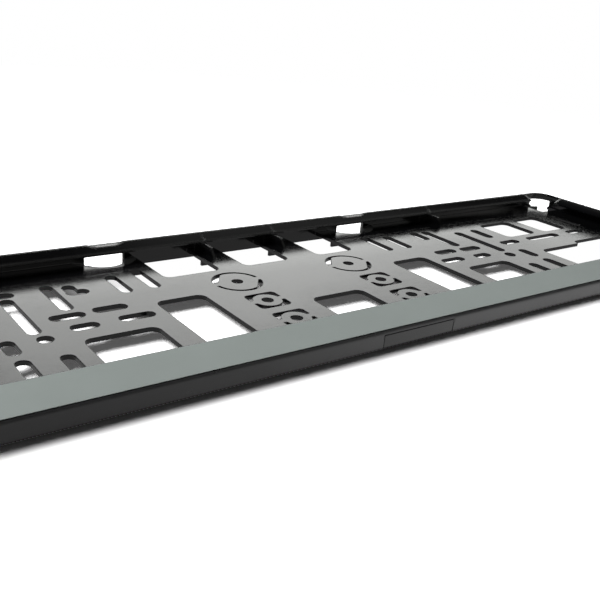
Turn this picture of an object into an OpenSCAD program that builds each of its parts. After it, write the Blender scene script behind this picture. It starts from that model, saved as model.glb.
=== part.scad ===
// Number plate holder for a long car plate, lying on its back as it rests on a table.
// A moulded carrier has a rim with a lip on three sides, and a clip-on strip closes the front.
// The length runs along X, the rear rim is at +Y and +Z is up.

/* [Overall] */
// Length of the holder
length = 532; // [526:1:540]
// Depth of the holder, from the strip's front face to the rear rim
depth = 138; // [135:0.5:143]

/* [Rim] */
// Height of the rim's crest
rim_h = 13.6; // [13.2:0.1:14.2]
// Thickness of the rim's outer wall
rim_wall = 2.2; // [1.6:0.1:2.6]
// Reach of the rim's lip, in from the outer face
lip_reach = 9.7; // [9:0.1:10.5]
// Slope of the lip, down towards its inner edge, in degrees
lip_angle = 23; // [20:0.5:25]
// Thickness of the lip at its inner edge
lip_t = 0.9; // [0.8:0.1:1.1]
// Thickness of the lip where it joins the wall
lip_root_t = 2.2; // [1.8:0.1:2.6]
// Outer radius of the two rear corners
corner_r = 12; // [11:0.5:16]
// Rounding of the rim's outer upper edge
crest_r = 2.5; // [1.5:0.1:2.8]
// Rounding of the lip's inner edge
lip_edge_r = 0.5; // [0.3:0.1:0.6]

/* [Rear notches] */
// Distance between the middles of the two notches in the rear rim
notch_spacing = 160; // [154:1:164]
// Width of each notch through the rear wall
notch_w = 21; // [18:0.5:23]
// Radius of the round cut-out in the floor at each notch
notch_r = 12.5; // [12:0.1:13]
// Distance of that cut-out's middle behind the rear face
notch_set_back = 2.5; // [1:0.1:3]
// Width of the sloping edge round that cut-out
dish_w = 5; // [3:0.5:6]
// Depth of that sloping edge
dish_depth = 1.2; // [0.6:0.1:1.4]
// Depth of the thumb scoop in the top of the rim above each notch
scoop_depth = 0.9; // [0.7:0.1:1.3]
// Side of the square cut-out in the floor at each rear corner
corner_cut = 21; // [18:0.5:24]
// Width of the rim's top that is left round that cut-out
corner_lip = 3.7; // [3:0.1:4.5]
// Top of the opening through the wall at each rear corner
corner_top = 9; // [8:0.1:9.6]

/* [Stop ribs] */
// Thickness of each rib that stops the plate's rear edge
stop_t = 1.8; // [1.2:0.1:2.4]
// Reach of each stop rib's upper edge, in from the outer face
stop_reach = 18.4; // [17:0.1:19]
// Reach of each stop rib's foot, in from the outer face
stop_foot = 22.5; // [20:0.5:24]
// Rounding of each stop rib's upper front corner
stop_r = 2; // [1:0.5:3]

/* [Floor] */
// Height of the floor's upper face above the table
floor_top = 5; // [4.5:0.1:5.4]
// Thickness of the floor
floor_t = 2; // [1.6:0.1:2.4]
// Thickness of the stiffening ribs under the floor
rib_t = 1.4; // [1:0.1:2]
// Clearance between the ribs and the table
rib_clearance = 0.6; // [0.3:0.1:1]
// Width of the long slots
slot_w = 5.8; // [4.5:0.1:6.2]
// Corner radius of the large windows
window_r = 4; // [2:0.5:5]
// Diameter of the single round hole at each end
round_hole_d = 6.6; // [5:0.1:7]

/* [Screw pads] */
// Distance between the left and the right row of screw pads
pad_spacing = 70; // [66:0.5:74]
// Diameter of the screw hole in each pad
screw_d = 5.6; // [4.2:0.1:6.4]
// Diameter of the large round pads with their slot
round_pad_d = 25; // [23:0.2:26]
// Width of the square cut-out round each small pad
square_pad_w = 16.6; // [16:0.1:18]
// Corner radius of that square cut-out
square_pad_r = 2.2; // [1.5:0.1:2.6]
// Width of the slots that free the pads
pad_slot_w = 1.3; // [0.9:0.1:1.5]
// Width of the two bridges that hold each pad
bridge_w = 3.6; // [2.4:0.1:4.4]

/* [Front strip] */
// Depth of the strip's upper face
strip_w = 21; // [19:0.5:23]
// Height of the strip's front edge
strip_h = 8.2; // [8:0.1:8.8]
// Rise of the strip's face towards its rear edge
strip_rise = 1.8; // [1.2:0.1:2.2]
// Wall thickness of the strip
strip_t = 2; // [1.6:0.1:2]
// Rounding of the strip's front edge
strip_edge_r = 1.1; // [0.6:0.1:1.4]
// Clearance between the strip's front wall and the table
strip_foot = 0.5; // [0.2:0.1:0.8]
// Thickness of the printed film on the strip
film_t = 0.2; // [0.1:0.05:0.3]
// Margin between the film and the strip's edges
film_margin = 0.5; // [0.3:0.1:1]

/* [Centre tongue] */
// Width of the carrier's tongue in the strip's front wall
tongue_w = 42; // [36:0.5:48]
// Distance of the tongue's middle from the holder's middle
tongue_x = 7; // [0:0.5:10]
// Height of the tongue's upper edge
tongue_h = 6.5; // [6:0.1:6.6]
// Gap round the tongue
tongue_gap = 0.35; // [0.2:0.05:0.5]

/* [Strip hooks] */
// Number of snap hooks along the strip
hook_count = 8; // [4:2:10]
// Width of each snap hook
hook_w = 12; // [8:1:16]
// Width of the shoulders that rest on the floor beside each hook
shoulder_w = 2.5; // [1.5:0.5:4]
// Thickness of each hook's leg
hook_t = 1.4; // [1.2:0.1:1.6]
// Reach of each hook's barb under the floor
barb_reach = 1; // [0.6:0.1:1.2]
// Clearance between each hook and the floor
hook_gap = 0.3; // [0.2:0.05:0.4]

/* [Hidden] */
$fn = 48;
half = length / 2;
overrun = 1;
floor_bottom = floor_top - floor_t;
floor_middle = floor_top - floor_t / 2;
skirt_front = strip_t;
skirt_t = rim_wall;
side_front = strip_w + tongue_gap;
lip_under_h = lip_face(rim_wall) - lip_root_t;
notch_top = lip_face(lip_reach) - lip_t;
strip_slope = strip_rise / strip_w;

// Windows at the rear rim: left and right edge as shares of half the length
rear_window_shares = [[-0.2425, -0.126], [-0.0715, 0.0338], [0.105, 0.2]];
rear_window_front_share = 0.728;
// Windows on both sides: left, right, front and rear edge, as shares of half the length and of the depth
window_shares = [
    [0.221, 0.312, 0.175, 0.547],
    [0.353, 0.474, 0.175, 0.377],
    [0.628, 0.729, 0.600, 0.790],
    [0.760, 0.850, 0.598, 0.800],
    [0.620, 0.775, 0.175, 0.410],
    [0.760, 0.905, 0.175, 0.440]
];
centre_window_shares = [-0.057, 0.057, 0.175, 0.366];
// Slots along the length: middle, place in depth and slot length
long_slot_shares = [
    [0.388, 0.558, 0.059], [0.363, 0.468, 0.062], [0.461, 0.549, 0.058], [0.451, 0.462, 0.046],
    [0.596, 0.547, 0.058], [0.717, 0.545, 0.113], [0.843, 0.545, 0.058]
];
left_long_slot_shares = [[0.408, 0.722, 0.039], [0.530, 0.778, 0.05]];
// Slots across the depth: place along the length, front end and rear end
cross_slot_shares = [
    [0.449, 0.594, 0.812], [0.525, 0.466, 0.747], [0.331, 0.656, 0.820], [0.277, 0.660, 0.848],
    [0.581, 0.625, 0.748], [0.573, 0.359, 0.455], [0.573, 0.190, 0.325], [0.513, 0.190, 0.308],
    [0.905, 0.600, 0.770]
];
left_cross_slot_shares = [[0.415, 0.712, 0.790]];
right_cross_slot_shares = [[0.415, 0.712, 0.820]];
round_hole_shares = [0.5195, 0.4225];
pad_row_shares = [0.603, 0.4145, 0.25];
stop_shares = [-0.53, -0.1045, 0.064, 0.53];
rib_row_shares = [0.152, 0.872];
rib_column_shares = [0.19, 0.335, 0.600, 0.928];
screw_slot_angle = 144;
pad_flat_shares = [0.36, 0.4];

function arc(cx, cy, r, from, to, steps) = [
    for (i = [0 : steps])
        let (angle = from + (to - from) * i / steps)
            [cx + r * cos(angle), cy + r * sin(angle)]
];

// Outline of the holder seen from above, moved in from the outer faces
module plan_outline(inset) {
    r = corner_r - inset;
    translate([-half + inset, skirt_front])
        square([length - 2 * inset, depth - corner_r - skirt_front]);
    translate([-half + corner_r, skirt_front])
        square([length - 2 * corner_r, depth - inset - skirt_front]);
    for (side = [-1, 1])
        translate([side * (half - corner_r), depth - corner_r])
            circle(r);
}

module rounded_window(x0, x1, y0, y1, r) {
    for (x = [x0 + r, x1 - r])
        for (y = [y0 + r, y1 - r])
            translate([x, y])
                circle(r);
    translate([x0 + r, y0])
        square([x1 - x0 - 2 * r, y1 - y0]);
    translate([x0, y0 + r])
        square([x1 - x0, y1 - y0 - 2 * r]);
}

// A slot with round ends between two points on one line along X or Y
module long_slot(x, y, slot_length) {
    reach = slot_length / 2 - slot_w / 2;
    for (side = [-1, 1])
        translate([x + side * reach, y])
            circle(slot_w / 2);
    translate([x - reach, y - slot_w / 2])
        square([2 * reach, slot_w]);
}

module cross_slot(x, y0, y1) {
    for (y = [y0 + slot_w / 2, y1 - slot_w / 2])
        translate([x, y])
            circle(slot_w / 2);
    translate([x - slot_w / 2, y0 + slot_w / 2])
        square([slot_w, y1 - y0 - slot_w]);
}

module slots(long_shares, cross_shares) {
    for (s = long_shares)
        long_slot(s[0] * half, s[1] * depth, s[2] * half);
    for (s = cross_shares)
        cross_slot(s[0] * half, s[1] * depth, s[2] * depth);
}

module side_openings() {
    for (w = window_shares)
        rounded_window(w[0] * half, w[1] * half, w[2] * depth, w[3] * depth, window_r);
    slots(long_slot_shares, cross_slot_shares);
    translate([round_hole_shares[0] * half, round_hole_shares[1] * depth])
        circle(round_hole_d / 2);
}

module rear_windows() {
    for (w = rear_window_shares) {
        rounded_window(w[0] * half, w[1] * half, rear_window_front_share * depth, depth - rim_wall, window_r);
        translate([w[0] * half, depth - rim_wall - 2 * window_r])
            square([(w[1] - w[0]) * half, 2 * window_r]);
    }
}

// Slot round a large pad, with two wider ends and two bridges
module round_pad_slot() {
    difference() {
        circle(round_pad_d / 2);
        intersection() {
            circle(round_pad_d / 2 - pad_slot_w);
            rotate(screw_slot_angle)
                translate([-pad_flat_shares[1] * round_pad_d, -round_pad_d / 2])
                    square([(pad_flat_shares[0] + pad_flat_shares[1]) * round_pad_d, round_pad_d]);
        }
        square([round_pad_d, bridge_w], center = true);
    }
}

// Square cut-out round a small round pad, with two bridges
module square_pad_slot() {
    reach = square_pad_w / 2;
    difference() {
        rounded_window(-reach, reach, -reach, reach, square_pad_r);
        circle(reach - pad_slot_w);
        square([square_pad_w, bridge_w], center = true);
    }
}

module pad_openings() {
    for (side = [-1, 1])
        for (row = [0 : len(pad_row_shares) - 1])
            translate([side * pad_spacing / 2, pad_row_shares[row] * depth]) {
                if (row == 0)
                    round_pad_slot();
                else
                    square_pad_slot();
                circle(screw_d / 2);
            }
}

// Round cut-outs in the floor under the notches
module notch_floor_cuts() {
    for (side = [-1, 1])
        translate([side * notch_spacing / 2, depth + notch_set_back])
            circle(notch_r);
}

// Through slots that the strip's hooks snap into
module hook_slots() {
    for (i = [0 : hook_count - 1])
        translate([hook_place(i) - hook_w / 2 - hook_gap, hook_front - hook_t - hook_gap])
            square([hook_w + 2 * hook_gap, hook_t + 2 * hook_gap]);
}

function hook_place(i) = (i + 0.5 - hook_count / 2) * (length - 2 * strip_w) / hook_count;
hook_front = skirt_front + skirt_t + hook_gap + barb_reach + hook_t;

module openings() {
    for (side = [0, 1])
        mirror([side, 0])
            side_openings();
    mirror([1, 0])
        slots(left_long_slot_shares, left_cross_slot_shares);
    slots([], right_cross_slot_shares);
    pad_openings();
    rounded_window(centre_window_shares[0] * half, centre_window_shares[1] * half,
        centre_window_shares[2] * depth, centre_window_shares[3] * depth, window_r);
    rear_windows();
    notch_floor_cuts();
    hook_slots();
}

// Sloping edges round the cut-outs under the notches
module notch_dishes() {
    for (side = [-1, 1])
        translate([side * notch_spacing / 2, depth + notch_set_back, floor_top - dish_depth])
            cylinder(h = dish_depth, r1 = notch_r, r2 = notch_r + dish_w);
}

module floor_plate() {
    difference() {
        translate([0, 0, floor_bottom])
            linear_extrude(floor_t)
                difference() {
                    plan_outline(rim_wall / 2);
                    openings();
                }
        notch_dishes();
    }
}

module ribs() {
    translate([0, 0, rib_clearance])
        linear_extrude(floor_middle - rib_clearance)
            difference() {
                union() {
                    for (row = rib_row_shares)
                        translate([-half + rim_wall / 2, row * depth - rib_t / 2])
                            square([length - rim_wall, rib_t]);
                    for (side = [-1, 1])
                        for (column = rib_column_shares)
                            translate([side * column * half - rib_t / 2, rib_row_shares[0] * depth])
                                square([rib_t, (1 - rib_row_shares[0]) * depth - rim_wall / 2]);
                }
                openings();
            }
}

// Height of the lip's sloping face at a distance in from the outer face
function lip_face(y) = rim_h - crest_r + crest_r / cos(lip_angle) - (y - crest_r) * tan(lip_angle);

// Section of the rim: distance in from the outer face, and height
function rim_section() = concat(
    [[0, 0]],
    arc(crest_r, rim_h - crest_r, crest_r, 180, 90 - lip_angle, 8),
    arc(lip_reach - lip_edge_r, lip_face(lip_reach - lip_edge_r) - lip_edge_r / cos(lip_angle), lip_edge_r,
        90 - lip_angle, 0, 4),
    [[lip_reach, notch_top], [rim_wall, lip_under_h], [rim_wall, 0]]
);

module rear_rim() {
    translate([-half + corner_r, depth, 0])
        rotate([90, 0, 90])
            linear_extrude(length - 2 * corner_r)
                mirror([1, 0])
                    polygon(rim_section());
}

module side_rim(side) {
    translate([side * half, side_front, 0])
        rotate([90, 0, 0])
            mirror([side > 0 ? 1 : 0, 0, 0])
                translate([0, 0, -(depth - corner_r - side_front)])
                    linear_extrude(depth - corner_r - side_front)
                        polygon(rim_section());
}

module corner_rim(side) {
    mirror([side > 0 ? 0 : 1, 0, 0])
        translate([half - corner_r, depth - corner_r, 0])
            rotate_extrude(angle = 90)
                translate([corner_r, 0])
                    mirror([1, 0])
                        polygon(rim_section());
}

module rim() {
    rear_rim();
    for (side = [-1, 1]) {
        side_rim(side);
        corner_rim(side);
    }
}

// Openings through the rear wall below the lip, and the scoops in the rim's top
module notch_cuts() {
    for (side = [-1, 1]) {
        translate([side * notch_spacing / 2 - notch_w / 2, depth - lip_reach, -overrun])
            cube([notch_w, lip_reach + overrun, notch_top + overrun]);
        translate([side * notch_spacing / 2, depth + notch_r / 2, rim_h - scoop_depth])
            cylinder(h = scoop_depth + overrun, r = notch_r);
    }
}

// Square cut-out at each rear corner, open through the round wall above a sill
module corner_cuts() {
    for (side = [0, 1])
        mirror([side, 0, 0]) {
            translate([0, 0, -overrun])
                linear_extrude(rim_h + 2 * overrun)
                    intersection() {
                        plan_outline(corner_lip);
                        translate([half - corner_cut, depth - corner_cut])
                            square(corner_cut);
                    }
            translate([half - corner_r, depth - corner_r, floor_bottom])
                cube([corner_r + overrun, corner_r + overrun, corner_top - floor_bottom]);
            translate([half - corner_r, depth - corner_r, -overrun])
                cube([corner_r + overrun, corner_r - corner_lip, corner_top + overrun]);
        }
}

// Upright ribs between the floor and the lip, which stop the plate's rear edge
module stop_ribs() {
    stop_slant = atan((stop_foot - stop_reach) / (notch_top - floor_top));
    for (place = stop_shares)
        translate([place * half - stop_t / 2, depth, 0])
            rotate([90, 0, 90])
                linear_extrude(stop_t)
                    mirror([1, 0])
                        polygon(concat(
                            [[rim_wall / 2, floor_middle], [rim_wall / 2, lip_under_h + lip_t / 2]],
                            [[lip_reach - lip_t / 2, notch_top + lip_t / 2], [lip_reach, notch_top]],
                            arc(stop_reach - stop_r, notch_top - stop_r, stop_r, 90, stop_slant, 4),
                            [[stop_foot, floor_middle]]
                        ));
}

module skirts() {
    translate([-half, skirt_front, 0])
        cube([length, skirt_t, floor_top]);
    for (side = [-1, 1])
        translate([side > 0 ? half - rim_wall : -half, skirt_front, 0])
            cube([rim_wall, side_front - skirt_front, floor_top]);
}

module tongue() {
    translate([tongue_x - tongue_w / 2, 0, strip_foot])
        cube([tongue_w, skirt_front + skirt_t / 2, tongue_h - strip_foot]);
}

module carrier() {
    color("#1c1e20")
        translate([0, -depth / 2, 0]) {
            difference() {
                union() {
                    difference() {
                        rim();
                        notch_cuts();
                    }
                    floor_plate();
                    ribs();
                }
                corner_cuts();
            }
            skirts();
            stop_ribs();
            tongue();
        }
}

function strip_face(y) = strip_h + strip_slope * y;

function strip_section() = concat(
    [[0, strip_foot]],
    arc(strip_edge_r, strip_h - strip_edge_r, strip_edge_r, 180, 100, 4),
    [[strip_w, strip_face(strip_w)], [strip_w, strip_face(strip_w) - strip_t],
        [strip_t, strip_face(strip_t) - strip_t], [strip_t, strip_foot]]
);

// A profile in Y and Z drawn out along X about the holder's middle
module along_x(run) {
    translate([-run / 2, 0, 0])
        rotate([90, 0, 90])
            linear_extrude(run)
                children();
}

module strip_end(side) {
    translate([side > 0 ? half - rim_wall : -half, 0, 0])
        rotate([90, 0, 90])
            linear_extrude(rim_wall)
                polygon([
                    [strip_t / 2, floor_top], [strip_w, floor_top],
                    [strip_w, strip_face(strip_w) - strip_t / 2], [strip_t / 2, strip_face(0) - strip_t / 2]
                ]);
}

// Snap hook with a barb under the floor, and the shoulders that seat the strip on the floor
module hook() {
    barb_top = floor_bottom - hook_gap;
    along_x(hook_w)
        polygon([
            [hook_front, strip_face(hook_front) - strip_t / 2],
            [hook_front, strip_foot + barb_reach],
            [hook_front - hook_t, strip_foot + barb_reach],
            [hook_front - hook_t - barb_reach, barb_top - barb_reach / 2],
            [hook_front - hook_t - barb_reach, barb_top],
            [hook_front - hook_t, barb_top],
            [hook_front - hook_t, strip_face(hook_front) - strip_t / 2]
        ]);
    along_x(hook_w + 2 * (hook_gap + shoulder_w))
        polygon([
            [hook_front, strip_face(hook_front) - strip_t / 2],
            [hook_front, floor_top],
            [hook_front - hook_t, floor_top],
            [hook_front - hook_t, strip_face(hook_front) - strip_t / 2]
        ]);
}

module front_strip() {
    color("#26282a")
        translate([0, -depth / 2, 0])
            difference() {
                union() {
                    along_x(length)
                        polygon(strip_section());
                    for (side = [-1, 1])
                        strip_end(side);
                    for (i = [0 : hook_count - 1])
                        translate([hook_place(i), 0, 0])
                            hook();
                }
                translate([tongue_x - tongue_w / 2 - tongue_gap, -overrun, -overrun])
                    cube([
                        tongue_w + 2 * tongue_gap, overrun + skirt_front + skirt_t / 2 + tongue_gap,
                        overrun + tongue_h + tongue_gap
                    ]);
            }
}

module strip_film() {
    front = strip_edge_r + film_margin;
    rear = strip_w - film_margin;
    color("#8f9793")
        translate([0, -depth / 2, 0])
            along_x(length - 2 * film_margin)
                polygon([
                    [front, strip_face(front)], [rear, strip_face(rear)],
                    [rear, strip_face(rear) + film_t], [front, strip_face(front) + film_t]
                ]);
}

carrier();
front_strip();
strip_film();
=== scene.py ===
"""Looks for the number plate holder: materials, soft studio light and the photograph's camera."""
import math

import bpy
from mathutils import Matrix, Vector


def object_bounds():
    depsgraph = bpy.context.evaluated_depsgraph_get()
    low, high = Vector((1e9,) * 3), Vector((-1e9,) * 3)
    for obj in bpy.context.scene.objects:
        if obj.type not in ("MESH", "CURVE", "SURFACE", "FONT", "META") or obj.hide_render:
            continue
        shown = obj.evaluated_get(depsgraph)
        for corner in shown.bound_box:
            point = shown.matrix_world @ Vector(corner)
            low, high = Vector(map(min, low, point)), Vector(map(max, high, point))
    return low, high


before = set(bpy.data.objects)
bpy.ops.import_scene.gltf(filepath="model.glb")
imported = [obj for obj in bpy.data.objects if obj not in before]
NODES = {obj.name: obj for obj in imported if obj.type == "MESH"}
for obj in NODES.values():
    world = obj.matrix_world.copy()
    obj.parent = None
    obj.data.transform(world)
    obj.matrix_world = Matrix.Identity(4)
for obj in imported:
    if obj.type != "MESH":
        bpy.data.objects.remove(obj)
CAD_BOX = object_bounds()

# Lengths are in metres, angles in degrees unless a comment says otherwise, and colours are linear.
# A pair of numbers is a soft step, from where it starts to where it ends. Two more numbers are its
# levels there. The frame's origin is at the middle of the holder's plan, on the table.
HALF_X, HALF_Y = CAD_BOX[1][0], CAD_BOX[1][1]

# Camera
CAMERA_AT = Vector((-0.23563, -0.28740, 0.14047))
AZIMUTH, ELEVATION, ROLL = 38.537, 21.472, 5.513
LENS_MM, SENSOR_MM = 47.889, 36.0
CLIP_START, CLIP_END = 0.01, 200.0

# Colours
CARRIER_BLACK = (0.0022, 0.0023, 0.0026)
STRIP_BLACK = (0.010, 0.010, 0.011)
FIELD_GREY = (0.355, 0.395, 0.378)
WHITE = (1.0, 1.0, 1.0)
ROOM_WHITE = (0.99, 1.0, 0.98)

# Noise of the plastic, as scale, detail and roughness: flow marks, mottling and grain
FLOW, MOTTLE, GRAIN = (14.0, 4.0, 0.55), (260.0, 3.0, 0.6), (1900.0, 2.0, 0.5)
# Noise of the printed field: slow patches and stipple
PATCHES, STIPPLE = (22.0, 4.0, 0.55), (2400.0, 2.0, 0.5)
GRAIN_DEPTH, STIPPLE_DEPTH = 0.00006, 0.00005
# The plastic's lighter flow marks, as a factor and an addition, and how much its roughness varies
FLOW_FACTOR, FLOW_LIFT, ROUGH_FLOW, ROUGH_MOTTLE = 1.5, 0.0005, 0.035, 0.04
# The steps of the noise that bring out its marks: in colour, and in roughness twice
FLOW_COLOUR_STEP, FLOW_ROUGH_STEP, MOTTLE_STEP = (0.35, 0.7), (0.3, 0.7), (0.4, 0.75)
# The printed field's darker patches, their step and its roughness
PATCH_FACTOR, PATCH_STEP, FIELD_ROUGH = 0.94, (0.3, 0.7), (0.5, 0.58)

# Rounding of the shaded edges: low down, on the rim, and the heights between which it grows
CARRIER_EDGES = (0.0006, 0.003, (0.0075, 0.0095))
STRIP_EDGES = (0.0, 0.0022, (0.004, 0.0055))
EDGE_SAMPLES = 6
# Fall of the carrier's floor towards the rear rim and the ends, seen in how it mirrors: where it
# starts and stops bending, how steeply, and 1 where it goes on falling or 0 where it is level again
FALL_TO_REAR = (0.018, 0.048, 0.9, 0.0)
FALL_TO_ENDS = (0.165, 0.205, 0.55, 1.0)
# Upward part of the normal from which a face counts as the floor
FLOOR_FACES = (0.95, 0.97)

# Table: half its width, and how far it lies under the object so that no two faces share a plane
TABLE_HALF, TABLE_GAP = 40.0, 0.00005
# Its colour for scattered light and, a clean white, for the camera
TABLE_PALE, TABLE_WHITE = (0.80, 0.80, 0.80), (2.2, 2.2, 2.2)
# Distance over which it turns into the plain white backdrop
BACKDROP = (0.45, 0.9)
# The part of the table that counts as under the object
UNDER_X, UNDER_Y = HALF_X - 0.001, HALF_Y - 0.0005
# Under it the camera sees painted light that hides the object's shadow: plain white towards the
# rear, apart from the left, and at the right
PAINTED_LIGHT_X, PAINTED_LIGHT_Y, PAINTED_LIGHT_RIGHT_X = (-0.12, -0.07), (0.028, 0.033), (0.14, 0.16)
# Elsewhere under it the camera sees a little of that painted light, and less under the foot of the
# front strip
PAINTED_LIGHT_FRONT = (-0.066, -0.062, 0.032, 0.08)

# Painted light that gloss finds on the table: round the object, growing from left to right, and
# under it, where painted shade darkens it near the front strip
PAINTED_GLOSS_LIGHT, PAINTED_GLOSS_UNDER = (-0.18, 0.10, 0.4, 1.0), (-0.06, -0.04, 0.0, 0.35)
# Painted shade next to the object in what gloss finds: where the painted light starts at its sides,
# and before and behind it
PAINTED_GLOSS_SHADE_X, PAINTED_GLOSS_SHADE_Y = (HALF_X + 0.001, HALF_X + 0.006), (HALF_Y, HALF_Y + 0.0025)
# Painted shade behind the object: the share of that painted light that is missing, from left to
# right
REAR_SHADE = (-0.10, -0.02, 0.85, 0.0)

# Room: its light for scattered rays, and its dark parts for gloss
ROOM_DIM, ROOM_DARK = 0.012, 0.02
# What gloss finds there by the direction's X, Y and Z: a pale front wall, a faint right side
FRONT_Y, FRONT_Z, FRONT_LEVEL = (0.0, -0.4), (0.55, 0.2), 0.7
SIDE_X, SIDE_Z, SIDE_LEVEL = (0.36, 0.45), (0.6, 0.75), 0.16
# A band high up in front and a panel straight overhead
BAND_BACK_Y, BAND_FRONT_Y, BAND_Z = (0.02, -0.06), (-0.3, -0.2), (0.5, 0.6, 0.0, 0.5)
PANEL_Z = (0.95, 0.99, ROOM_DARK, 0.4)
# A white card behind the object. Its turn, in radians, is 0 at +Y and grows to the right.
# Its ends, its brightness, its foot, the line of its top edge and the softness of that edge
CARD_LEFT, CARD_RIGHT, CARD_LEVEL = (0.05, 0.3), (1.3, 1.1), (0.6, 1.0, 2.15, 1.4)
CARD_FOOT_Z, CARD_TOP_Z, CARD_TOP_SOFT = (0.09, 0.15), (0.35, 1.0, 0.52, 0.37), (0.04, -0.04)

# Places of the colour sockets on a Mix node, which share their names with others
MIX_FACTOR, MIX_FIRST, MIX_SECOND, MIX_RESULT = 0, 6, 7, 2


# Node helpers
def feed(tree, socket, value):
    """Gives a socket a number or a colour, or links another node's output to it."""
    if isinstance(value, bpy.types.NodeSocket):
        tree.links.new(value, socket)
    elif isinstance(value, tuple):
        socket.default_value = (*value, 1.0)
    else:
        socket.default_value = value


def add(tree, kind, **inputs):
    """Adds a node. Each keyword names one of its inputs, with _ for a space."""
    node = tree.nodes.new(kind)
    for name, value in inputs.items():
        feed(tree, node.inputs[name.replace("_", " ")], value)
    return node


def clear_nodes(owner, output):
    """Empties the node tree of a material or a world, and gives it an output node."""
    owner.use_nodes = True
    tree = owner.node_tree
    tree.nodes.clear()
    return tree, tree.nodes.new(output)


def new_material(name):
    mat = bpy.data.materials.new(name)
    return mat, *clear_nodes(mat, "ShaderNodeOutputMaterial")


def coordinates(tree, space):
    return tree.nodes.new("ShaderNodeTexCoord").outputs[space]


def split(tree, vector):
    """The X, Y and Z of a vector."""
    parts = add(tree, "ShaderNodeSeparateXYZ", Vector=vector).outputs
    return parts["X"], parts["Y"], parts["Z"]


def noise(tree, coords, scale, detail, roughness):
    node = add(
        tree, "ShaderNodeTexNoise", Vector=coords, Scale=scale, Detail=detail, Roughness=roughness)
    return node.outputs["Fac"]


def ramp(tree, value, start, end, low=0.0, high=1.0, smooth=True):
    """Goes from low to high while the value goes from start to end, and is level outside them."""
    node = add(
        tree, "ShaderNodeMapRange", Value=value, From_Min=start, From_Max=end,
        To_Min=low, To_Max=high)
    node.interpolation_type = "SMOOTHSTEP" if smooth else "LINEAR"
    return node.outputs["Result"]


def maths(tree, operation, *values):
    node = tree.nodes.new("ShaderNodeMath")
    node.operation = operation
    for socket, value in zip(node.inputs, values):
        feed(tree, socket, value)
    return node.outputs[0]


def product(tree, first, *others):
    for other in others:
        first = maths(tree, "MULTIPLY", first, other)
    return first


def total(tree, first, *others):
    for other in others:
        first = maths(tree, "ADD", first, other)
    return first


def mix_colour(tree, factor, first, second):
    node = tree.nodes.new("ShaderNodeMix")
    node.data_type = "RGBA"
    for place, value in ((MIX_FACTOR, factor), (MIX_FIRST, first), (MIX_SECOND, second)):
        feed(tree, node.inputs[place], value)
    return node.outputs[MIX_RESULT]


def mix_shader(tree, factor, first, second):
    node = tree.nodes.new("ShaderNodeMixShader")
    for socket, value in zip(node.inputs, (factor, first, second)):
        feed(tree, socket, value)
    return node.outputs[0]


def by_ray(tree, path, scattered, mirrored, seen):
    """Picks a shader for scattered rays, for what the object mirrors and for what the camera sees.

    Gloss behind a scattered ray counts as scattered, so the bright room lights nothing.
    """
    unscattered = maths(tree, "LESS_THAN", path.outputs["Diffuse Depth"], 0.5)
    direct_gloss = product(tree, path.outputs["Is Glossy Ray"], unscattered)
    return mix_shader(
        tree, path.outputs["Is Camera Ray"],
        mix_shader(tree, direct_gloss, scattered, mirrored), seen)


# Materials
def floor_fall(tree, along, start, end, steep, goes_on):
    """Height of a floor that bends down from start to end and then goes on falling, or is level."""
    run = maths(tree, "MAXIMUM", maths(tree, "SUBTRACT", along, start), 0.0)
    bend = maths(tree, "MINIMUM", run, end - start)
    past = product(tree, maths(tree, "SUBTRACT", run, bend), 2.0 * goes_on * (end - start))
    return product(tree, total(tree, product(tree, bend, bend), past), -steep)


def falling_floor(tree, x, y, normal):
    """Tilts the normals of the floor alone, as a slight fall towards the rear and the ends."""
    height = total(
        tree, floor_fall(tree, y, *FALL_TO_REAR),
        floor_fall(tree, maths(tree, "ABSOLUTE", x), *FALL_TO_ENDS))
    upward = split(tree, tree.nodes.new("ShaderNodeNewGeometry").outputs["True Normal"])[2]
    bump = add(
        tree, "ShaderNodeBump", Distance=1.0, Strength=ramp(tree, upward, *FLOOR_FACES),
        Height=height, Normal=normal)
    return bump.outputs["Normal"]


def moulded_plastic(name, colour, ior, rough, grain, edges, falls=False):
    """Satin moulded plastic with eroded grain, slow flow marks and rounded edges."""
    mat, tree, out = new_material(name)
    coords = coordinates(tree, "Object")
    x, y, z = split(tree, coords)
    flow = noise(tree, coords, *FLOW)
    mottle = noise(tree, coords, *MOTTLE)
    lighter = tuple(c * FLOW_FACTOR + FLOW_LIFT for c in colour)
    roughness = total(
        tree, ramp(tree, flow, *FLOW_ROUGH_STEP, rough - ROUGH_FLOW, rough + ROUGH_FLOW),
        ramp(tree, mottle, *MOTTLE_STEP, 0.0, ROUGH_MOTTLE))
    edge_r, rim_edge_r, heights = edges
    bevel = add(tree, "ShaderNodeBevel", Radius=ramp(tree, z, *heights, edge_r, rim_edge_r))
    bevel.samples = EDGE_SAMPLES
    normal = bevel.outputs["Normal"]
    if falls:
        normal = falling_floor(tree, x, y, normal)
    bump = add(
        tree, "ShaderNodeBump", Strength=grain, Distance=GRAIN_DEPTH,
        Height=noise(tree, coords, *GRAIN), Normal=normal)
    bsdf = add(
        tree, "ShaderNodeBsdfPrincipled", IOR=ior, Roughness=roughness,
        Base_Color=mix_colour(tree, ramp(tree, flow, *FLOW_COLOUR_STEP), colour, lighter),
        Normal=bump.outputs["Normal"])
    feed(tree, out.inputs["Surface"], bsdf.outputs["BSDF"])
    return mat


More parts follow.
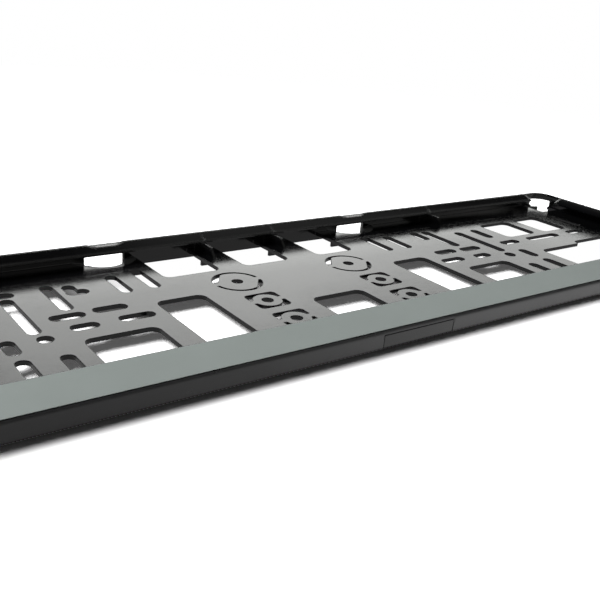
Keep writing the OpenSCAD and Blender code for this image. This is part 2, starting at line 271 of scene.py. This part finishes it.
def printed_field(name, colour, ior, specular, stipple):
    """Matt grey printed film with a faint stipple."""
    mat, tree, out = new_material(name)
    coords = coordinates(tree, "Object")
    patches = noise(tree, coords, *PATCHES)
    darker = tuple(c * PATCH_FACTOR for c in colour)
    bump = add(
        tree, "ShaderNodeBump", Strength=stipple, Distance=STIPPLE_DEPTH,
        Height=noise(tree, coords, *STIPPLE))
    bsdf = add(
        tree, "ShaderNodeBsdfPrincipled", IOR=ior, Specular_IOR_Level=specular,
        Roughness=ramp(tree, patches, *PATCH_STEP, *FIELD_ROUGH),
        Base_Color=mix_colour(tree, ramp(tree, patches, *PATCH_STEP), darker, colour),
        Normal=bump.outputs["Normal"])
    feed(tree, out.inputs["Surface"], bsdf.outputs["BSDF"])
    return mat


def dress(node, mat):
    mesh = NODES[node].data
    mesh.materials.clear()
    mesh.materials.append(mat)


dress("carrier", moulded_plastic(
    "carrier_plastic", CARRIER_BLACK, ior=1.6, rough=0.12, grain=0.25, edges=CARRIER_EDGES,
    falls=True))
dress("front_strip", moulded_plastic(
    "strip_plastic", STRIP_BLACK, ior=1.7, rough=0.30, grain=0.3, edges=STRIP_EDGES))
dress("strip_film", printed_field("printed_grey", FIELD_GREY, ior=1.4, specular=0.08, stipple=0.2))


# Table, room and lamp
def table_material():
    """White table: it keeps the object's shadow in front of and at the sides of the object. Under
    the object the camera sees painted light that hides part of that shadow, plain white at the rear
    and right, and gloss finds painted light and shade on it."""
    mat, tree, out = new_material("table_white")
    place = coordinates(tree, "Object")
    x, y, _ = split(tree, place)
    off_x, off_y = maths(tree, "ABSOLUTE", x), maths(tree, "ABSOLUTE", y)
    under = product(
        tree, maths(tree, "LESS_THAN", off_x, UNDER_X), maths(tree, "LESS_THAN", off_y, UNDER_Y))

    # How far the camera sees plain white in place of the lit table: the far backdrop, and painted
    # light under the object that hides its shadow
    length = add(tree, "ShaderNodeVectorMath", Vector=place)
    length.operation = "LENGTH"
    far = ramp(tree, length.outputs["Value"], *BACKDROP)
    painted_light = product(tree, ramp(tree, x, *PAINTED_LIGHT_X), ramp(tree, y, *PAINTED_LIGHT_Y))
    painted_light = maths(tree, "MAXIMUM", painted_light, ramp(tree, x, *PAINTED_LIGHT_RIGHT_X))
    painted_light = maths(tree, "MAXIMUM", painted_light, ramp(tree, y, *PAINTED_LIGHT_FRONT))
    clear = maths(tree, "MAXIMUM", far, product(tree, painted_light, under))

    # How bright gloss finds the table: painted light, with painted shade next to, behind and under
    # the object
    past_painted_shade = maths(
        tree, "MAXIMUM", ramp(tree, off_x, *PAINTED_GLOSS_SHADE_X), ramp(tree, off_y, *PAINTED_GLOSS_SHADE_Y))
    shade = product(tree, maths(tree, "GREATER_THAN", y, 0.0), ramp(tree, x, *REAR_SHADE))
    painted_gloss_light = product(
        tree, ramp(tree, x, *PAINTED_GLOSS_LIGHT), past_painted_shade, maths(tree, "SUBTRACT", 1.0, shade))
    level = add(tree, "ShaderNodeMix", Factor=under, A=painted_gloss_light, B=ramp(tree, y, *PAINTED_GLOSS_UNDER))

    feed(tree, out.inputs["Surface"], by_ray(
        tree, tree.nodes.new("ShaderNodeLightPath"),
        scattered=add(tree, "ShaderNodeBsdfDiffuse", Color=TABLE_PALE).outputs[0],
        mirrored=add(tree, "ShaderNodeEmission", Strength=level.outputs[0]).outputs[0],
        seen=mix_shader(
            tree, clear, add(tree, "ShaderNodeBsdfDiffuse", Color=TABLE_WHITE).outputs[0],
            tree.nodes.new("ShaderNodeEmission").outputs[0])))
    return mat


def make_table():
    mesh = bpy.data.meshes.new("table")
    corners = [
        (x * TABLE_HALF, y * TABLE_HALF, -TABLE_GAP)
        for x, y in ((-1, -1), (1, -1), (1, 1), (-1, 1))]
    mesh.from_pydata(corners, [], [(0, 1, 2, 3)])
    obj = bpy.data.objects.new("table", mesh)
    bpy.context.scene.collection.objects.link(obj)
    mesh.materials.append(table_material())


def card_level(tree, x, y, z):
    """How bright gloss finds the white card behind the object."""
    turn = maths(tree, "ARCTAN2", x, y)
    above = maths(tree, "SUBTRACT", z, ramp(tree, turn, *CARD_TOP_Z, smooth=False))
    return product(
        tree, ramp(tree, turn, *CARD_LEVEL),
        ramp(tree, turn, *CARD_LEFT), ramp(tree, turn, *CARD_RIGHT),
        ramp(tree, above, *CARD_TOP_SOFT), ramp(tree, z, *CARD_FOOT_Z))


def make_world():
    """Studio: white to the camera, dim for scattered light, and a room with lit parts for gloss."""
    world = bpy.data.worlds.new("studio")
    bpy.context.scene.world = world
    tree, out = clear_nodes(world, "ShaderNodeOutputWorld")
    x, y, z = split(tree, coordinates(tree, "Generated"))
    front = product(tree, ramp(tree, y, *FRONT_Y), ramp(tree, z, *FRONT_Z), FRONT_LEVEL)
    side = product(tree, ramp(tree, x, *SIDE_X), ramp(tree, z, *SIDE_Z), SIDE_LEVEL)
    band = product(
        tree, ramp(tree, y, *BAND_BACK_Y), ramp(tree, y, *BAND_FRONT_Y), ramp(tree, z, *BAND_Z))
    level = total(tree, front, side, band, card_level(tree, x, y, z), ramp(tree, z, *PANEL_Z))
    skies = (
        add(tree, "ShaderNodeBackground", Color=colour, Strength=strength).outputs[0]
        for colour, strength in ((WHITE, ROOM_DIM), (ROOM_WHITE, level), (WHITE, 1.0)))
    feed(tree, out.inputs["Surface"], by_ray(tree, tree.nodes.new("ShaderNodeLightPath"), *skies))


def facing(azimuth, elevation):
    """Unit vector to a compass direction (0 is +Y, 90 is +X) and a height above the table."""
    a, e = math.radians(azimuth), math.radians(elevation)
    return Vector((math.sin(a) * math.cos(e), math.cos(a) * math.cos(e), math.sin(e)))


def softbox(name, azimuth, elevation, distance, width, height, radiance):
    """Area light that faces the object and that neither the camera nor gloss sees."""
    at = facing(azimuth, elevation) * distance
    light = bpy.data.lights.new(name, "AREA")
    light.shape = "RECTANGLE"
    light.size, light.size_y = width, height
    light.energy = radiance * math.pi * width * height
    obj = bpy.data.objects.new(name, light)
    obj.location = at
    obj.rotation_euler = (-at).to_track_quat("-Z", "Y").to_euler()
    obj.visible_camera = obj.visible_glossy = False
    bpy.context.scene.collection.objects.link(obj)


make_table()
make_world()
softbox(
    "key_softbox", azimuth=-30.0, elevation=42.0, distance=2.0, width=2.1, height=1.1, radiance=8.4)


# Camera
def make_camera():
    forward, roll = facing(AZIMUTH, -ELEVATION), math.radians(ROLL)
    right = forward.cross(Vector((0.0, 0.0, 1.0))).normalized()
    up = right.cross(forward)
    side = math.cos(roll) * right + math.sin(roll) * up
    top = -math.sin(roll) * right + math.cos(roll) * up
    data = bpy.data.cameras.new("photo_camera")
    data.lens, data.sensor_width = LENS_MM, SENSOR_MM
    data.clip_start, data.clip_end = CLIP_START, CLIP_END
    cam = bpy.data.objects.new("photo_camera", data)
    turn = Matrix((side, top, -forward)).transposed()
    cam.matrix_world = Matrix.Translation(CAMERA_AT) @ turn.to_4x4()
    bpy.context.scene.collection.objects.link(cam)
    bpy.context.scene.camera = cam


make_camera()
bpy.context.scene.view_settings.view_transform = "Standard"
